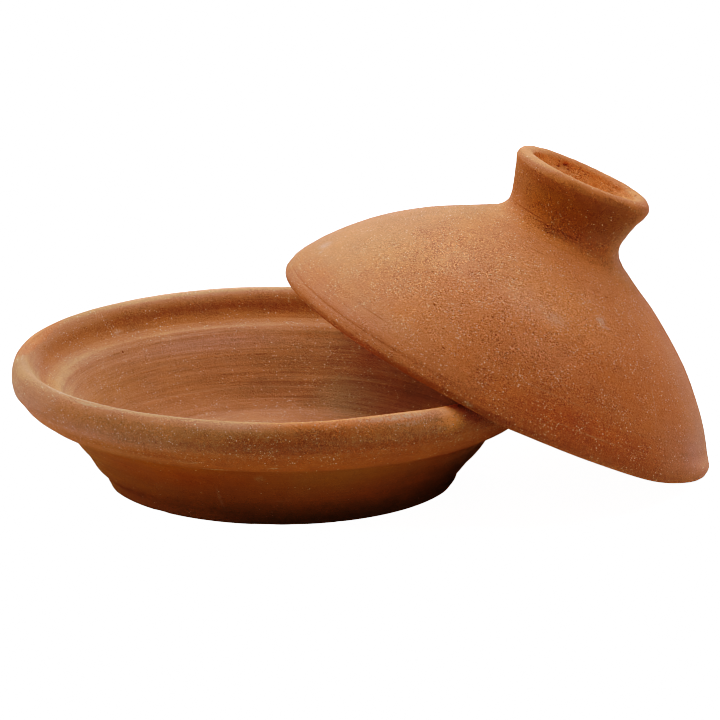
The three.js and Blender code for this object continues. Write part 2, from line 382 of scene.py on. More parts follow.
LID_FORM = [
    (-12, 232, 70, 34, -1.15), (-10, 280, 34, 14, -0.85), (-24, 170.3, 22, 5.0, 3.00), (-51, 164, 30, 8, 1.20), (-20, 206, 50, 12, -0.30),
    (-97, 164, 20, 6, 1.00), (-28, 324, 14, 5.5, 1.35), (-16, 294.5, 14, 7, -1.35), (-174, 292.5, 14, 4.5, -1.20), (170, 291, 12, 5, -0.90), (156, 250, 50, 26, 0.55), (165, 186, 50, 18, 0.38),
    (174, 324, 16, 8, -0.50), (-18, 303, 16, 5, -0.90), (75, 337, 22, 6, -0.30), (178, 308, 9, 6, 0.40), (-77, 164, 30, 6, 0.38), (-174, 163, 24, 6, 0.35),
]
LID_CRUMBS = [
    (100, 342.6, 2.2, 1.4, -0.9), (112, 345.0, 1.8, 1.0, -0.6), (90, 344.5, 1.6, 1.0, -0.5), (5, 339.0, 1.2, 1.2, -0.5),
    (-120, 331.0, 3.0, 1.4, -0.30), (-75, 330.0, 2.6, 1.2, -0.25), (-150, 333.0, 3.0, 1.6, -0.28), (60, 332.0, 3.0, 1.4, -0.35),
    (160, 331.0, 2.4, 1.2, -0.35), (-127.7, 206.2, 1.6, 1.0, -0.35), (-66, 268.0, 1.6, 1.0, -0.30), (-106, 163.5, 3.0, 1.2, -0.30),
    (35, 164.0, 4.0, 1.2, -0.35), (110, 163.0, 5.0, 1.3, -0.35), (-20, 162.5, 4.0, 1.2, -0.28), (-92, 236.0, 7.0, 5.0, -0.12),
    (75, 250.0, 6.0, 4.0, -0.25), (20, 290.0, 4.0, 2.0, 0.25), (150, 222.0, 7.0, 4.0, -0.22),
]


LID_TINTS = [
    ((-157, 161, 128, 50, 4.0), (0.91, 0.98, 0.95)), ((-112, 161, 128, 48, 4.0), (0.76, 0.83, 0.64)),
    ((-67, 161, 128, 50, 4.0), (1.14, 1.28, 1.36)), ((-22, 169, 130, 46, 6.0), (1.15, 1.24, 1.36)),
    ((-20, 186, 122, 46, 14.0), (1.00, 1.15, 1.22)), ((-157, 222, 100, 40, 44.0), (1.08, 1.11, 1.15)),
    ((157, 190, 118, 46, 12.0), (0.93, 0.94, 1.04)), ((-112, 262, 68, 26, 22.0), (1.03, 1.07, 1.06)),
    ((-20, 304, 36, 14, 10.0), (1.00, 1.10, 1.32)), ((-22, 316, 36, 14, 8.0), (1.06, 1.21, 1.62)),
    ((-157, 316, 36, 14, 7.0), (1.02, 1.10, 1.28)), ((-112, 321, 36, 14, 8.0), (0.92, 0.95, 0.76)),
    ((-67, 320, 36, 14, 8.0), (0.90, 0.96, 0.94)), ((-67, 308, 36, 14, 5.0), (0.95, 1.02, 1.14)),
    ((-22, 334, 40, 14, 6.0), (0.86, 0.84, 0.92)), ((104, 347, 30, 14, 5.0), (1.18, 1.42, 1.70)),
    ((157, 335, 38, 14, 5.0), (1.12, 1.16, 1.34)), ((-22, 286, 50, 20, 6.0), (1.06, 1.13, 1.11)),
    ((-22, 326, 38, 14, 4.0), (1.02, 1.06, 1.18)), ((-112, 298, 38, 16, 7.0), (1.07, 1.07, 0.95)),
    ((-112, 311, 35, 16, 8.0), (1.00, 1.00, 0.88)), ((157, 276, 58, 26, 16.0), (0.92, 1.00, 1.10)),
    ((60, 338, 38, 46, 4.0), (0.97, 0.92, 0.88)), ((-147, 333, 36, 14, 5.0), (1.18, 1.36, 1.62)),
    ((-133, 175, 127, 46, 8.0), (1.04, 1.17, 1.38)), ((-139, 183, 124, 30, 6.0), (1.03, 1.09, 1.10)),
    ((-116, 162, 129, 30, 3.0), (0.87, 0.93, 0.77)), ((-40, 180, 126, 26, 12.0), (1.00, 1.05, 1.28)),
    ((-25, 214, 106, 22, 24.0), (1.01, 1.14, 1.26)), ((-105, 238, 92, 16, 10.0), (1.03, 1.10, 1.24)),
    ((84, 343, 31, 18, 6.0), (0.95, 0.94, 0.94)), ((118, 343, 32, 9, 4.0), (1.02, 1.08, 1.12)), ((-127, 177, 126, 24, 6.0), (0.97, 0.92, 0.84)),
    ((-170, 181, 124, 28, 6.0), (0.97, 0.90, 0.84)), ((-78, 179, 126, 40, 8.0), (0.98, 0.88, 0.80)),
    ((-137, 240, 92, 18, 10.0), (1.08, 1.14, 1.24)), ((-90, 211, 110, 22, 9.0), (1.10, 1.18, 1.30)),
    ((-149, 179, 126, 18, 5.0), (0.98, 0.92, 0.84)),
]


def lid_shape(g):
    c, n, r, z, t = g["c"], g["n"], g["r"], g["z"], g["t"]
    dome, neck = soft_mask(g, "dome"), soft_mask(g, "neck")
    rim, lip = soft_mask(g, "rim"), soft_mask(g, "lip")
    cup, under = soft_mask(g, "cup"), soft_mask(g, "under")
    rings = polar(g, 80, 2.4, 31) * 0.55 + polar(g, 45, 1.2, 32) * 0.35 + polar(g, 110, 6.0, 33) * 0.5
    near_rim = soft_mask(g, "dome") * smoothstep(45, 8, z)
    d = rings * (0.06 * dome + 0.07 * near_rim + 0.05 * neck + 0.05 * rim + 0.03 * lip + 0.12 * cup + 0.16 * under)
    d = d + solid_noise(g, 30, 41) * (0.25 * dome + 0.22 * neck + 0.15 * under + 0.12 * rim)
    d = d + solid_noise(g, 11, 42) * (0.08 * dome + 0.28 * neck + 0.32 * lip + 0.25 * cup + 0.05 * rim)
    d = d + solid_noise(g, 4.5, 50, 2) * (0.12 * neck + 0.10 * lip)
    d = d + solid_noise(g, 2.2, 43, 2) * (0.05 + 0.05 * neck + 0.03 * lip)
    # a step above the rim, the cut at the foot of the neck with torn clay below it, and nicks in the lip
    left = smoothstep(62, 40, np.abs((np.degrees(t) + 162 + 180) % 360 - 180))
    d = d - 0.30 * left * smoothstep(172.8, 170.6, g["s"]) * smoothstep(158, 162, g["s"])
    d = d + groove(g, 170.9, 0.8, 0.22, -178, -118, 0.4, 44) + groove(g, 181.9, 0.7, 0.16, -143, -132, 0.3, 45)
    d = d + groove(g, 301.2, 1.0, 0.20, -172, -84, 1.6, 46) + groove(g, 300.6, 0.9, 0.25, 60, 175, 0.8, 47)
    torn = np.exp(-((g["s"] - 298.0) / 3.4) ** 2) * smoothstep(56, 22, np.abs((np.degrees(t) + 118 + 180) % 360 - 180))
    d = d + torn * (solid_noise(g, 1.8, 48, 2) * 0.62 - 0.10)
    d = d + (cup * 1.7 + lip * 0.5) * solid_noise(g, 3.2, 49, 2) * 0.26 + cup * solid_noise(g, 1.5, 51, 2) * 0.16
    d = d + dents(g, LID_CRUMBS) + dents(g, LID_FORM)
    rr = r + g["nr"] * d
    zz = z + g["nz"] * d
    x, y = rr * c, rr * n
    x, y, zz = neck_set(x, y, zz)
    return np.stack([x, y, zz], -1), tinted(g, LID_TINTS, 62)


LID_PLACE = (
    Matrix.Translation(Vector(LID_CENTRE) * MM)
    @ Matrix.Rotation(math.radians(LID_BEARING), 4, "Z")
    @ Matrix.Rotation(math.radians(LID_LEAN), 4, "Y")
)

dish = turned("dish_clay_body", DISH, DISH_SEGMENTS, dish_shape, Matrix.Identity(4))
lid = turned("lid_clay_body", LID, LID_SEGMENTS, lid_shape, LID_PLACE)


# ---------------------------------------------------------------- clay
class Nodes:
    """Short calls that add a node to a tree and link it."""

    def __init__(self, name):
        self.mat = bpy.data.materials.new(name)
        self.mat.use_nodes = True
        self.tree = self.mat.node_tree
        self.tree.nodes.clear()

    def add(self, kind, inputs=(), **settings):
        node = self.tree.nodes.new(kind)
        for key, value in settings.items():
            setattr(node, key, value)
        for key, value in dict(inputs).items():
            if isinstance(value, bpy.types.NodeSocket):
                self.tree.links.new(value, node.inputs[key])
            else:
                node.inputs[key].default_value = value
        return node

    def attribute(self, name, output="Vector"):
        return self.add("ShaderNodeAttribute", attribute_name=name).outputs[output]

    def math(self, op, a, b=0.0, c=0.0, clamp=False):
        return self.add("ShaderNodeMath", {0: a, 1: b, 2: c}, operation=op, use_clamp=clamp).outputs[0]

    def vec(self, op, a, b=(0, 0, 0)):
        return self.add("ShaderNodeVectorMath", {0: a, 1: b}, operation=op).outputs[0]

    def noise(self, vector, scale, detail=2.0, roughness=0.5, distortion=0.0):
        return self.add("ShaderNodeTexNoise", {"Vector": vector, "Scale": scale, "Detail": detail, "Roughness": roughness,
                                               "Distortion": distortion}).outputs["Fac"]

    def ramp(self, value, low, high, to_low=0.0, to_high=1.0, smooth=True):
        return self.add("ShaderNodeMapRange", {0: value, 1: low, 2: high, 3: to_low, 4: to_high},
                        interpolation_type="SMOOTHSTEP" if smooth else "LINEAR").outputs[0]

    def mix(self, factor, a, b, blend="MIX"):
        node = self.add("ShaderNodeMix", data_type="RGBA", blend_type=blend, clamp_factor=True)
        for socket, value in ((node.inputs[0], factor), (node.inputs[6], a), (node.inputs[7], b)):
            if isinstance(value, bpy.types.NodeSocket):
                self.tree.links.new(value, socket)
            else:
                socket.default_value = value if isinstance(value, float) else (*value, 1)
        return node.outputs[2]


class Clay(Nodes):
    """A fired-clay material: colours by zone, then patches, turning streaks, grit, pits, mineral specks and scuffs,
    with painted shade in pores, pits and cuts and some painted light.
    """

    def __init__(self, name, shift):
        super().__init__(name)
        self.loc, self.ring = self.attribute("loc"), self.attribute("ring")
        self.moved = self.vec("ADD", self.loc, shift)
        self.run = self.math("MULTIPLY", self.add("ShaderNodeSeparateXYZ", {0: self.ring}).outputs[2], 1000.0)
        self.wobble = self.noise(self.moved, 60.0, 3.0, 0.6)
        self.fray = self.noise(self.moved, 420.0, 3.0, 0.65)

    def zones(self, stops, warp=3.0):
        """Colour by run length in mm: [(mm, (r, g, b)), ...]."""
        at = self.math("ADD", self.run, self.math("MULTIPLY", self.math("SUBTRACT", self.wobble, 0.5), 2 * warp))
        last = stops[-1][0]
        ramp = self.add("ShaderNodeValToRGB", {0: self.math("DIVIDE", at, last)})
        e = ramp.color_ramp.elements
        e[0].position, e[0].color = stops[0][0] / last, (*stops[0][1], 1)
        e[1].position, e[1].color = 1.0, (*stops[-1][1], 1)
        for mm, colour in stops[1:-1]:
            e.new(mm / last).color = (*colour, 1)
        return ramp.outputs[0]

    def level(self, stops):
        """A number by run length: [(mm, value), ...]."""
        return self.zones([(mm, (v, v, v)) for mm, v in stops], 1.0)

    def patch(self, bearing, at, radius, across, along, soft=0.35, fray=0.5, wobble=0.0):
        """1 inside an oval about (bearing deg, run length mm), 0 outside. across and along are its half sizes in mm."""
        m = self.add("ShaderNodeMapping", {"Vector": self.ring, "Location": (-1.0, 0.0, -at),
                                           "Rotation": (0, 0, -math.radians(bearing)), "Scale": (1, 1, 1000.0)}).outputs[0]
        d = self.vec("MULTIPLY", m, (radius / across, radius / across, 1 / along))
        far = self.add("ShaderNodeVectorMath", {0: d}, operation="LENGTH").outputs["Value"]
        if fray:
            far = self.math("ADD", far, self.math("MULTIPLY", self.math("SUBTRACT", self.fray, 0.5), fray))
        if wobble:
            far = self.math("ADD", far, self.math("MULTIPLY", self.math("SUBTRACT", self.wobble, 0.5), wobble))
        return self.ramp(far, 1 + soft, 1 - soft)

    def stripes(self, around, along, seed, detail=2.0):
        """Noise drawn out round the piece: around and along are its feature sizes in mm."""
        k = 1000.0 / along
        q = 110.0 / around
        v = self.add("ShaderNodeVectorMath", {0: self.ring, 1: (q, q, k)}, operation="MULTIPLY").outputs[0]
        return self.noise(self.vec("ADD", v, (seed, 2.3 * seed, 0.7 * seed)), 1.0, detail, 0.6)

    def grains(self, scale, share, small, large):
        """Round grains: each Voronoi cell holds one with the given chance (a number or a socket). Returns the mask and a random number."""
        cell = self.add("ShaderNodeTexVoronoi", {"Vector": self.moved, "Scale": scale, "Randomness": 1.0}, feature="F1")
        pick = self.add("ShaderNodeSeparateColor", {0: cell.outputs["Color"]}).outputs
        size = self.ramp(pick[0], 0.0, 1.0, small, large, smooth=False)
        body = self.ramp(self.math("SUBTRACT", size, cell.outputs["Distance"]), -0.03, 0.07)
        return self.math("MULTIPLY", body, self.math("LESS_THAN", pick[1], share)), pick[2]

    def scaled(self, colour, factor):
        return self.add("ShaderNodeHueSaturation", {"Color": colour, "Value": factor}).outputs[0]

    def product(self, *values):
        out = values[0]
        for v in values[1:]:
            out = self.math("MULTIPLY", out, v)
        return out

    def centred(self, value, amount, spread=0.16):
        """Noise about 0.5 turned into roughly -amount to amount."""
        return self.math("MULTIPLY", self.math("SUBTRACT", value, 0.5), amount / spread)


def clay(name, shift, zones, patches, streaky, gritty, sandy, gritty_patches, sandy_patches, scuffs_and_painted_light, pits, speck_and_glint, haze):
    m = Clay(name, shift)
    colour = m.zones(zones)
    for place, tint, strength in patches:
        colour = m.mix(m.math("MULTIPLY", m.patch(*place), strength), colour, tint)
    # the per-vertex gains of the tint tables, painted shade and painted light near the lid among them
    colour = m.mix(1.0, colour, m.attribute("tint"), "MULTIPLY")

    # slow changes of the firing: pinker and yellower, lighter and darker
    broad = m.noise(m.moved, 26.0, 3.0, 0.55, 0.4)
    colour = m.add("ShaderNodeHueSaturation", {
        "Color": colour, "Hue": m.math("ADD", m.centred(broad, 0.0012), 0.5),
        "Saturation": m.math("ADD", m.centred(m.wobble, 0.010), 1.0)}).outputs[0]
    light = m.math("ADD", m.centred(broad, 0.034), m.centred(m.wobble, 0.034))

    # turning marks
    wide, thin, hair = m.stripes(90.0, 5.5, 1.7, 3.0), m.stripes(60.0, 2.2, 5.1, 3.0), m.stripes(30.0, 0.9, 9.4, 2.0)
    turned_marks = m.math("ADD", m.math("ADD", m.centred(wide, 0.055), m.centred(thin, 0.075)), m.centred(hair, 0.075))
    streak_here = m.level(streaky)
    light = m.math("ADD", light, m.product(turned_marks, streak_here))

    # grit: a sandy skin with light and dark grains
    grit_here = m.level(gritty)
    for place, strength in gritty_patches:
        grit_here = m.math("ADD", grit_here, m.math("MULTIPLY", m.patch(*place), strength))
    grit_here = m.math("MULTIPLY", grit_here, m.ramp(m.noise(m.moved, 170.0, 3.0, 0.7), 0.36, 0.66, 0.50, 1.60))
    fine = m.noise(m.moved, 1750.0, 2.0, 0.6)
    coarse = m.noise(m.vec("ADD", m.moved, (3.0, 1.0, 2.0)), 760.0, 3.0, 0.65)
    grit = m.math("ADD", m.centred(fine, 0.25), m.centred(coarse, 0.14))
    grit = m.math("MAXIMUM", grit, m.math("MULTIPLY", grit, 0.6))
    light = m.math("ADD", light, m.product(m.math("SUBTRACT", grit, 0.02), grit_here))
    light = m.math("ADD", light, m.centred(m.fray, 0.025))
    colour = m.scaled(colour, m.math("ADD", light, 1.0))

    # dark open pores: painted shade in tiny holes, with the bump pressed in
    pore, _ = m.grains(900.0, m.math("MULTIPLY", grit_here, 0.07), 0.10, 0.30)
    colour = m.mix(m.math("MULTIPLY", pore, 0.50), colour, (0.20, 0.060, 0.022))

    # pale mineral grains: many small ones, and a few larger ones in clusters; their bright colour is partly their own
    # and partly a painted glint of the crystals
    sand_here = m.level(sandy)
    for place, strength in sandy_patches:
        sand_here = m.math("ADD", sand_here, m.math("MULTIPLY", m.patch(*place), strength))
    cluster = m.ramp(m.noise(m.vec("ADD", m.moved, (7.3, 2.9, 0.6)), 85.0, 4.0, 0.7), 0.44, 0.66, 0.10, 1.9)
    sand_here = m.math("MULTIPLY", sand_here, cluster)
    small, tone = m.grains(920.0, m.math("MULTIPLY", sand_here, 0.44), 0.14, 0.39)
    small = m.math("MULTIPLY", small, m.ramp(m.math("POWER", tone, 1.6), 0.0, 1.0, 0.15, 1.0, smooth=False))
    colour = m.mix(small, colour, speck_and_glint)
    big, tone = m.grains(450.0, m.math("MULTIPLY", sand_here, 0.20), 0.08, 0.19)
    big = m.math("MULTIPLY", big, m.ramp(tone, 0.0, 1.0, 0.35, 1.0, smooth=False))
    colour = m.mix(big, colour, speck_and_glint)

    # dry pale film in the grit of some zones
    film = m.level(haze)
    film = m.product(film, m.ramp(m.math("ADD", m.math("MULTIPLY", fine, 0.5), m.math("MULTIPLY", m.fray, 0.5)), 0.47, 0.60), 0.34)
    colour = m.mix(film, colour, (0.60, 0.36, 0.22))

    # scuffs and scratches, broken up by the grain; some are painted shade and a painted highlight along cuts, grooves
    # and nicks
    broken = m.ramp(m.math("ADD", m.math("MULTIPLY", coarse, 0.6), m.math("MULTIPLY", m.fray, 0.4)), 0.42, 0.56)
    raised = 0.0
    for place, tint, strength, solid in scuffs_and_painted_light:
        mask = m.patch(*place)
        mask = m.math("MULTIPLY", mask, m.math("ADD", m.math("MULTIPLY", broken, 1 - solid), solid))
        colour = m.mix(m.math("MULTIPLY", mask, strength), colour, tint)
    # pits: near-black painted shade in small hollows, with the bump pressed in
    for place in pits:
        mask = m.patch(*place, 0.4, 1.3)
        colour = m.mix(m.math("MULTIPLY", mask, 0.52), colour, (0.14, 0.040, 0.014))
        raised = m.math("SUBTRACT", raised, mask)

    rough = m.math("ADD", m.ramp(m.fray, 0.3, 0.7, 0.80, 0.92), m.math("MULTIPLY", small, -0.25))
    height = m.math("ADD", m.product(m.centred(fine, 0.30), grit_here), m.product(m.centred(coarse, 0.42), grit_here))
    height = m.math("ADD", height, m.product(turned_marks, streak_here, 0.9))
    height = m.math("ADD", height, m.math("MULTIPLY", m.math("ADD", small, big), 0.30))
    height = m.math("SUBTRACT", height, m.math("MULTIPLY", pore, 0.7))
    height = m.math("ADD", height, raised)
    bump = m.add("ShaderNodeBump", {"Strength": 0.8, "Distance": 0.00022, "Height": height}).outputs[0]
    bsdf = m.add("ShaderNodeBsdfPrincipled", {"Base Color": colour, "Roughness": rough, "Normal": bump,
                                              "Specular IOR Level": 0.22, "Diffuse Roughness": 0.6})
    m.add("ShaderNodeOutputMaterial", {"Surface": bsdf.outputs[0]})
    return m.mat


# Zones run from the middle of the underside, out, up and over the rim, and in to the middle of the inside, in mm.
DISH_ZONES = [
    (0, (0.47, 0.19, 0.070)), (98, (0.45, 0.195, 0.066)), (107, (0.47, 0.195, 0.060)), (122, (0.465, 0.180, 0.050)),
    (140, (0.45, 0.164, 0.043)), (154, (0.43, 0.152, 0.040)), (160, (0.50, 0.172, 0.054)), (171, (0.49, 0.172, 0.060)),
    (178, (0.51, 0.200, 0.083)), (184, (0.55, 0.232, 0.104)), (193, (0.59, 0.262, 0.130)), (199, (0.48, 0.206, 0.098)),
    (205, (0.38, 0.148, 0.062)), (212, (0.44, 0.175, 0.074)), (219, (0.48, 0.195, 0.083)), (226, (0.55, 0.265, 0.138)),
    (238, (0.52, 0.252, 0.134)), (262, (0.475, 0.226, 0.116)), (277, (0.47, 0.215, 0.108)), (287, (0.44, 0.186, 0.084)),
    (375, (0.44, 0.186, 0.084)),
]
LID_ZONES = [
    (0, (0.50, 0.200, 0.092)), (150, (0.50, 0.190, 0.085)), (159, (0.46, 0.166, 0.068)), (165, (0.48, 0.168, 0.068)),
    (171, (0.51, 0.180, 0.076)), (176, (0.53, 0.190, 0.082)), (200, (0.55, 0.198, 0.087)), (240, (0.555, 0.198, 0.087)),
    (285, (0.57, 0.207, 0.088)), (300, (0.60, 0.220, 0.092)), (312, (0.49, 0.185, 0.064)), (322, (0.47, 0.174, 0.058)),
    # the paler inside of the cup, from 344 mm, is painted light, for the light that falls into the cup
    (330, (0.57, 0.207, 0.084)), (337, (0.60, 0.222, 0.090)), (344, (0.74, 0.340, 0.148)), (395, (0.66, 0.280, 0.120)),
]
PALE_TAN, ORANGE, SPECK_AND_GLINT = (0.58, 0.280, 0.150), (0.60, 0.205, 0.085), (0.94, 0.70, 0.52)
dish_mat = clay(
    "dish clay", (0.31, 0.17, 0.44), DISH_ZONES,
    patches=[
        # (bearing, run length, radius there, half size round, half size along, softness, fray, wobble), tint, strength
        ((-160, 190, 147, 48, 14, 0.22, 0.3, 0.5), PALE_TAN, 0.75),  # dry pale rim, near left
        ((168, 190, 147, 42, 9, 0.12, 0.35, 0.6), ORANGE, 0.9),  # clean orange rim, far left
        ((-122, 196, 143, 52, 5, 0.3, 0.4, 0.6), (0.62, 0.315, 0.175), 0.65),  # pale crest, near
        ((-72, 194, 144, 60, 6, 0.3, 0.4, 0.6), (0.78, 0.310, 0.130), 0.8),  # orange crest, near right, painted lighter: painted light on the crest beside the lid
        ((-175, 204, 138, 40, 5, 0.4, 0.3, 0.6), (0.50, 0.235, 0.120), 0.7),
        ((162, 214, 131, 50, 8, 0.4, 0.3, 0.6), (0.42, 0.166, 0.070), 0.7),  # browner foot of the roll, far left
        ((165, 230, 119, 52, 13, 0.4, 0.3, 0.6), (0.55, 0.275, 0.165), 0.6),  # dusty left end of the inside wall
        ((108, 232, 119, 52, 14, 0.5, 0.3, 0.6), (0.58, 0.290, 0.160), 0.5),
        ((60, 262, 104, 50, 20, 0.5, 0.3, 0.6), (0.50, 0.262, 0.145), 0.6),
        ((-85, 165, 143, 90, 9, 0.4, 0.3, 0.6), (0.52, 0.170, 0.046), 0.5),  # orange collar, front
        ((-100, 116, 108, 60, 16, 0.6, 0.2, 0.5), (0.51, 0.225, 0.060), 0.6),  # yellower foot, front
        ((-12, 128, 115, 60, 40, 0.5, 0.2, 0.5), (0.385, 0.145, 0.036), 0.8),  # duller right side
        ((-124, 140, 125, 36, 12, 0.5, 0.2, 0.5), (0.53, 0.178, 0.045), 0.5),
    ],
    streaky=[(0, 0.3), (98, 0.25), (150, 0.35), (176, 0.45), (200, 0.4), (221, 0.6), (226, 1.0), (272, 1.0), (290, 0.55), (375, 0.5)],
    gritty=[(0, 0.5), (100, 0.40), (150, 0.42), (163, 0.5), (174, 0.85), (188, 0.85), (197, 0.8), (215, 0.75), (228, 0.65), (250, 0.50), (280, 0.60), (375, 0.5)],
    sandy=[(0, 0.1), (100, 0.10), (150, 0.14), (163, 0.30), (174, 1.35), (187, 1.45), (197, 0.9), (215, 0.6), (224, 0.7), (262, 0.9), (275, 1.4), (375, 1.2)],
    gritty_patches=[((-70, 184, 150, 70, 9, 0.4, 0.3, 0.4), 0.25)],
    sandy_patches=[((95, 222, 124, 26, 5, 0.4, 0.3, 0.4), 0.9), ((84, 240, 114, 20, 10, 0.5, 0.3, 0.4), 0.8),
                   ((86, 254, 106, 16, 6, 0.5, 0.3, 0.4), 0.9)],
    scuffs_and_painted_light=[
        # (place), tint, strength, how solid
        ((-103, 157.4, 138, 7, 0.7, 0.5, 1.2), (0.60, 0.34, 0.21), 0.75, 0.2),
        ((-90, 162.0, 142, 3.2, 0.6, 0.5, 1.2), (0.62, 0.36, 0.22), 0.8, 0.2),
        ((-109, 164.0, 142, 6, 1.4, 0.6, 1.6), (0.58, 0.30, 0.18), 0.6, 0.0),
        ((-106, 118.0, 108, 0.9, 9.5, 0.6, 1.6), (0.60, 0.34, 0.18), 0.55, 0.1),
        ((-94, 140.0, 125, 2.6, 3.0, 0.6, 1.8), (0.58, 0.33, 0.18), 0.6, 0.0),
        ((-89, 119.0, 109, 4.0, 0.7, 0.6, 1.2), (0.55, 0.30, 0.16), 0.45, 0.0),
        ((-75, 150.0, 133, 7.0, 0.6, 0.6, 1.2), (0.55, 0.28, 0.14), 0.45, 0.0),
        ((-64, 190.5, 147, 17, 1.5, 0.6, 2.4), (0.64, 0.46, 0.34), 0.6, 0.0),
        ((-61, 186.5, 149, 12, 1.2, 0.6, 2.4), (0.60, 0.43, 0.31), 0.45, 0.0),
        ((-140, 193.0, 145, 22, 1.0, 0.6, 1.4), (0.66, 0.42, 0.28), 0.7, 0.0),
        ((-133, 190.5, 147, 16, 0.8, 0.6, 1.4), (0.64, 0.40, 0.26), 0.6, 0.0),
        ((137, 211.0, 133, 3.0, 2.2, 0.7, 1.6), (0.64, 0.40, 0.24), 0.55, 0.0),
        # thin near-black lines round the far inside wall; the one at 224 mm is painted shade in the groove at the
        # seat's inner edge
        ((100, 239.0, 114, 13, 0.6, 0.6, 1.4), (0.20, 0.070, 0.028), 0.5, 0.0),
        ((104, 224.0, 123, 20, 0.6, 0.6, 1.4), (0.22, 0.080, 0.032), 0.5, 0.0),
        ((118, 245.0, 110, 17, 0.7, 0.6, 1.4), (0.24, 0.085, 0.035), 0.4, 0.0),
    ],
    # pits: painted shade in small hollows
    pits=[(-163, 203.0, 139, 1.0, 0.7), (141, 226.0, 122, 0.8, 0.8)],
    speck_and_glint=SPECK_AND_GLINT,
    haze=[(0, 0.0), (160, 0.1), (172, 0.7), (180, 0.9), (188, 0.5), (197, 0.25), (215, 0.2), (226, 0.3), (375, 0.1)],
)
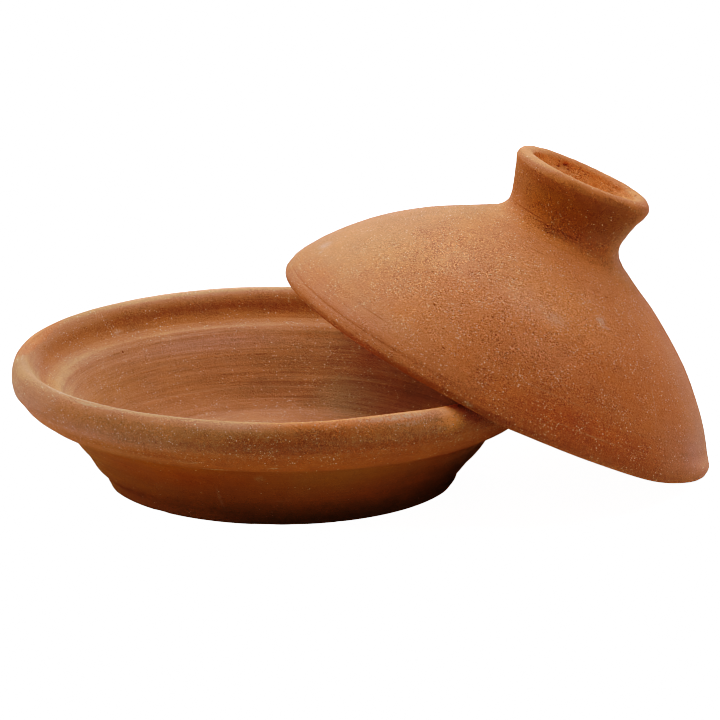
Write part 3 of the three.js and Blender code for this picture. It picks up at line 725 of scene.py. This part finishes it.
lid_mat = clay(
    "lid clay", (0.77, 0.53, 0.12), LID_ZONES,
    patches=[
        ((-118, 244, 88, 62, 40, 0.5, 0.2, 0.5), (0.66, 0.242, 0.104), 0.65),  # lighter orange, front left
        ((-152, 204, 112, 62, 28, 0.5, 0.2, 0.5), (0.68, 0.262, 0.108), 0.75),  # pale tan, left
        ((-98, 170, 130, 56, 14, 0.5, 0.2, 0.6), (0.50, 0.165, 0.066), 0.6),
        ((-58, 200, 115, 78, 44, 0.5, 0.2, 0.6), (0.490, 0.154, 0.063), 0.6),  # redder, front right
        ((178, 215, 105, 60, 46, 0.5, 0.2, 0.5), (0.55, 0.225, 0.118), 0.6),  # paler, far left
        ((-82, 244, 88, 32, 18, 0.5, 0.3, 0.6), (0.68, 0.258, 0.110), 0.4),
        ((-16, 176, 128, 44, 18, 0.5, 0.3, 0.6), (0.62, 0.245, 0.125), 0.55),
        ((-22, 240, 88, 42, 26, 0.5, 0.3, 0.6), (0.51, 0.172, 0.072), 0.6),
        ((-20, 292, 38, 18, 9, 0.5, 0.3, 0.6), (0.62, 0.250, 0.125), 0.6),
        ((-112, 312, 35, 22, 9, 0.5, 0.3, 0.5), (0.51, 0.190, 0.044), 0.6),
        ((-62, 318, 36, 18, 10, 0.5, 0.3, 0.5), (0.400, 0.148, 0.052), 0.6),
    ],
    streaky=[(0, 0.5), (150, 0.5), (163, 0.55), (178, 0.5), (200, 0.22), (240, 0.12), (290, 0.15), (310, 0.25), (330, 0.2), (395, 0.4)],
    gritty=[(0, 0.8), (155, 0.6), (165, 0.75), (180, 0.9), (240, 1.05), (290, 1.05), (303, 1.35), (318, 1.3), (330, 0.9), (338, 0.8), (343, 1.5), (395, 1.3)],
    sandy=[(0, 0.3), (155, 0.5), (165, 1.6), (180, 1.45), (200, 1.15), (290, 1.15), (306, 1.0), (312, 0.6), (330, 0.3), (395, 0.3)],
    gritty_patches=[((-115, 235, 92, 70, 42, 0.5, 0.2, 0.5), 1.0), ((-20, 220, 100, 70, 50, 0.6, 0.2, 0.5), -0.30),
                    ((170, 200, 110, 60, 30, 0.6, 0.2, 0.5), -0.25), ((-118, 297, 37, 13, 5, 0.5, 0.3, 0.5), 0.9)],
    sandy_patches=[((-118, 225, 98, 80, 50, 0.5, 0.2, 0.5), 0.95), ((-10, 220, 100, 75, 60, 0.6, 0.2, 0.5), -0.45),
                   ((165, 200, 110, 60, 30, 0.6, 0.2, 0.5), -0.40), ((-82, 303, 35, 6, 5, 0.5, 0.3, 0.5), 1.3),
                   ((-155, 294, 38, 12, 6, 0.5, 0.3, 0.5), 0.9)],
    scuffs_and_painted_light=[
        ((-92, 236.0, 88, 5.5, 4.0, 0.8, 1.6), (0.66, 0.40, 0.26), 0.50, 0.25),
        ((-72.5, 249.0, 78, 3.0, 2.6, 0.7, 2.0), (0.72, 0.48, 0.33), 0.65, 0.1),
        ((-71.0, 245.0, 80, 3.2, 0.8, 0.6, 1.4), (0.72, 0.48, 0.33), 0.60, 0.1),
        ((-52.4, 206.0, 109, 0.5, 9.0, 0.6, 1.6), (0.62, 0.33, 0.20), 0.45, 0.1),
        ((-105.8, 165.0, 131, 2.6, 1.1, 0.6, 1.4), (0.66, 0.42, 0.29), 0.50, 0.2),
        ((-179.8, 193.0, 118, 4.0, 3.4, 0.8, 1.2), (0.66, 0.46, 0.36), 0.40, 0.3),
        ((-176.0, 189.0, 120, 1.4, 1.2, 0.8, 1.2), (0.68, 0.50, 0.40), 0.50, 0.3),
        # a dark line in the short groove above the rim: painted shade
        ((-138.0, 182.1, 125, 9.5, 0.35, 0.5, 0.5), (0.24, 0.080, 0.032), 0.60, 0.4),
        ((-112.0, 280.0, 50, 6.0, 0.35, 0.5, 0.6), (0.22, 0.075, 0.030), 0.60, 0.4),
        # this and the next two: painted shade in the cut at the foot of the neck and in the torn clay below it
        ((-146.0, 302.6, 35, 16.0, 0.35, 0.5, 0.8), (0.20, 0.060, 0.022), 0.55, 0.1),
        ((-112.0, 300.8, 35, 17.0, 0.6, 0.6, 2.2), (0.14, 0.040, 0.014), 0.70, 0.0),
        ((-112.0, 298.2, 37, 9.0, 1.4, 0.7, 2.8), (0.16, 0.046, 0.016), 0.42, 0.0),
        # a dark line and a pale one under it: painted shade and a painted highlight along the step above the rim
        ((-150.0, 171.2, 130, 62.0, 0.35, 0.5, 0.7), (0.30, 0.100, 0.040), 0.45, 0.3),
        ((-150.0, 170.0, 130, 62.0, 0.50, 0.5, 1.0), (0.66, 0.300, 0.150), 0.30, 0.2),
        # painted shade in a nick in the lip
        ((100.0, 343.6, 31, 4.2, 2.2, 0.6, 2.4), (0.24, 0.075, 0.026), 0.45, 0.0),
        ((-75.0, 176.0, 128, 26.0, 0.5, 0.5, 1.4), (0.60, 0.33, 0.20), 0.35, 0.0),
        ((-88.0, 190.0, 120, 20.0, 0.5, 0.5, 1.4), (0.60, 0.33, 0.20), 0.30, 0.0),
    ],
    # pits: painted shade in small hollows
    pits=[(-127.7, 206.2, 110, 1.0, 0.6), (-66.0, 268.0, 62, 1.1, 0.6), (-118.0, 186.0, 121, 0.9, 0.5), (-121.0, 196.0, 116, 0.9, 0.4),
          (5.4, 339.0, 32, 0.7, 0.7), (100.5, 342.6, 31, 1.5, 0.7), (96.0, 344.5, 31, 1.1, 0.6), (108.0, 344.6, 30, 1.2, 0.6)],
    speck_and_glint=(0.98, 0.64, 0.42),
    haze=[(0, 0.0), (155, 0.1), (165, 0.25), (290, 0.2), (310, 0.1), (395, 0.0)],
)
dish.data.materials.append(dish_mat)
lid.data.materials.append(lid_mat)

for piece, body, node, slot in ((dish, "dish", "dish", "dish_clay"), (lid, "lid", "lid", "lid_clay")):
    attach(piece, body)
    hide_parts(node)


# ---------------------------------------------------------------- stage, light and camera
def stage_floor():
    """A large pale sheet. The camera sees it lifted to near white, as a lit sweep is, and it sends back the light of a
    sheet of ordinary matt paper."""
    mesh = bpy.data.meshes.new("floor")
    w = 8.0
    mesh.from_pydata([(-w, -w, 0), (w, -w, 0), (w, w, 0), (-w, w, 0)], [], [(0, 1, 2, 3)])
    obj = bpy.data.objects.new("floor", mesh)
    bpy.context.scene.collection.objects.link(obj)
    obj.location.z = -0.0004
    m = Nodes("floor paper")
    seen = m.add("ShaderNodeLightPath").outputs["Is Camera Ray"]
    pale = m.add("ShaderNodeBsdfDiffuse", {"Color": (0.90, 0.90, 0.90, 1)}).outputs[0]
    lift = m.add("ShaderNodeEmission", {"Color": (1, 1, 1, 1), "Strength": 4.3}).outputs[0]
    bright = m.add("ShaderNodeAddShader", {0: pale, 1: lift}).outputs[0]
    paper = m.add("ShaderNodeBsdfDiffuse", {"Color": (0.60, 0.60, 0.60, 1)}).outputs[0]
    both = m.add("ShaderNodeMixShader", {0: seen, 1: paper, 2: bright}).outputs[0]
    m.add("ShaderNodeOutputMaterial", {"Surface": both})
    mesh.materials.append(m.mat)
    return obj


LIGHT_AIM = (0.05, 0.0, 0.06)


def soft_light(name, bearing, elevation, size, watts):
    """A round soft lamp 1.8 m from the object. Bearing 0 is in front, 90 on the right."""
    data = bpy.data.lights.new(name, "AREA")
    data.shape, data.size = "DISK", size
    data.energy = watts
    obj = bpy.data.objects.new(name, data)
    az, el = math.radians(bearing), math.radians(elevation)
    way = Vector((math.sin(az) * math.cos(el), -math.cos(az) * math.cos(el), math.sin(el)))
    obj.location = Vector(LIGHT_AIM) + 1.8 * way
    obj.rotation_euler = (-way).to_track_quat("-Z", "Y").to_euler()
    obj.visible_camera = False
    bpy.context.scene.collection.objects.link(obj)
    return obj


stage_floor()
LIGHTS = [
    ("overhead", 0, 88, 1.1, 62),
    ("back_high", 180, 50, 1.1, 61),
    ("back_left_high", 225, 50, 1.1, 37),
    ("right_high", 90, 50, 1.1, 18),
    ("back_right_high", 135, 50, 1.1, 8),
    ("left_low", 270, 14, 0.8, 31),
    ("back_right_low", 135, 14, 0.8, 16),
    ("back_low", 180, 14, 0.8, 16),
    ("front_right_low", 45, 14, 0.8, 5),
    ("front_high", 0, 50, 1.1, 2),
]
for entry in LIGHTS:
    soft_light(*entry)

world = bpy.data.worlds.new("studio")
bpy.context.scene.world = world
world.use_nodes = True
wt = world.node_tree
seen = wt.nodes.new("ShaderNodeLightPath").outputs["Is Camera Ray"]
strength = wt.nodes.new("ShaderNodeMath")
strength.operation = "MULTIPLY"
strength.inputs[1].default_value = 4.6
wt.links.new(seen, strength.inputs[0])
wt.nodes["Background"].inputs[0].default_value = (1, 1, 1, 1)
wt.links.new(strength.outputs[0], wt.nodes["Background"].inputs[1])

# the contrast of a studio picture: light in, light shown
TONE_WHITE = 4.5
TONE = [(0.0, 0.0), (0.10, 0.010), (0.20, 0.037), (0.316, 0.087), (0.60, 0.192), (1.0, 0.36), (1.8, 0.556), (3.16, 0.84), (4.5, 1.0)]
view = bpy.context.scene.view_settings
view.view_transform = "Standard"
view.look = "None"
view.use_curve_mapping = True
tone = view.curve_mapping
tone.extend = "HORIZONTAL"
tone.white_level = (TONE_WHITE,) * 3
points = tone.curves[3].points
for light_in, shown in TONE[1:-1]:
    points.new(light_in / TONE_WHITE, shown)
tone.update()

camera = bpy.data.cameras.new("camera")
camera.sensor_width = 36
camera.lens = 3832.5 / 720 * 36
camera.clip_end = 50
camera_obj = bpy.data.objects.new("camera", camera)
bpy.context.scene.collection.objects.link(camera_obj)
yaw, pitch, roll = -0.00574, 0.26651, 0.00099
forward = Vector((math.sin(yaw) * math.cos(pitch), math.cos(yaw) * math.cos(pitch), -math.sin(pitch)))
right = Vector((math.cos(yaw), -math.sin(yaw), 0))
up = right.cross(forward)
right, up = math.cos(roll) * right + math.sin(roll) * up, math.cos(roll) * up - math.sin(roll) * right
turn = Matrix((right, up, -forward)).transposed().to_4x4()
camera_obj.matrix_world = Matrix.Translation((0.056052, -2.074045, 0.631691)) @ turn
bpy.context.scene.camera = camera_obj
bpy.context.scene.cycles.filter_width = 1.1  # a crisp pixel filter, so that the grain of the clay stays sharp
